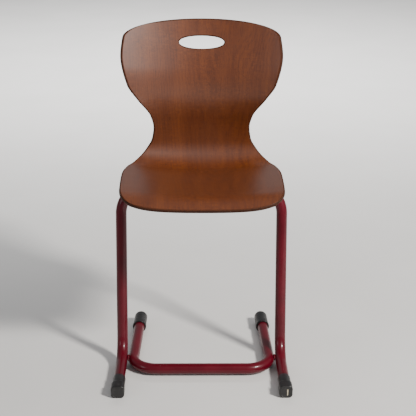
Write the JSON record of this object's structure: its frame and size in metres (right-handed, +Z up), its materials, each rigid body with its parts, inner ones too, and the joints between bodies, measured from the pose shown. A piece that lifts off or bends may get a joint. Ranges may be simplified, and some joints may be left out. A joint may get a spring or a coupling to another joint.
{
  "type": "stacking chair",
  "caption": "School stacking chair: one moulded plywood shell with a grip slot on a welded round-tube steel frame with plastic foot caps.",
  "frame": {"origin": "floor point under the middle of the frame's length and width, on the floor plane", "axes": "+Z up, -Y towards the front of the seat, +X to the right of someone facing the chair; the chair is mirror symmetric about the plane X = 0"},
  "size_m": [0.4132, 0.399, 0.8035],
  "materials": {
    "plywood_shell": "glossy brown lacquer over vertical veneer grain",
    "red_powder_coat": "dark red semi-gloss powder coat",
    "coated_weld": "weld bead under the red coat",
    "black_plastic": "worn dark moulded plastic",
    "grey_plastic": "plain moulded plastic",
    "zinc_steel": "zinc plated",
    "brass": "turned"
  },
  "bodies": {
    "root": {"seat_shell": "plywood_shell", "main_frame_tube": "red_powder_coat", "floor_tube": "red_powder_coat", "left_seat_bearer": "red_powder_coat", "right_seat_bearer": "red_powder_coat", "left_foot_weld": "coated_weld", "left_bearer_weld_front": "coated_weld", "left_bearer_weld_rear": "coated_weld", "right_foot_weld": "coated_weld", "right_bearer_weld_front": "coated_weld", "right_bearer_weld_rear": "coated_weld", "left_front_foot_cap": "black_plastic", "left_rear_foot_cap": "black_plastic", "right_front_foot_cap": "black_plastic", "right_rear_foot_cap": "black_plastic", "left_spacer_pad": "grey_plastic", "right_spacer_pad": "grey_plastic", "seat_screw_left_front": "zinc_steel", "seat_screw_left_rear": "zinc_steel", "seat_screw_right_front": "zinc_steel", "seat_screw_right_rear": "zinc_steel", "washer_left_front": "zinc_steel", "washer_left_rear": "zinc_steel", "washer_right_front": "zinc_steel", "washer_right_rear": "zinc_steel", "threaded_insert_left_front": "brass", "threaded_insert_left_rear": "brass", "threaded_insert_right_front": "brass", "threaded_insert_right_rear": "brass"}
  },
  "joints": []
}
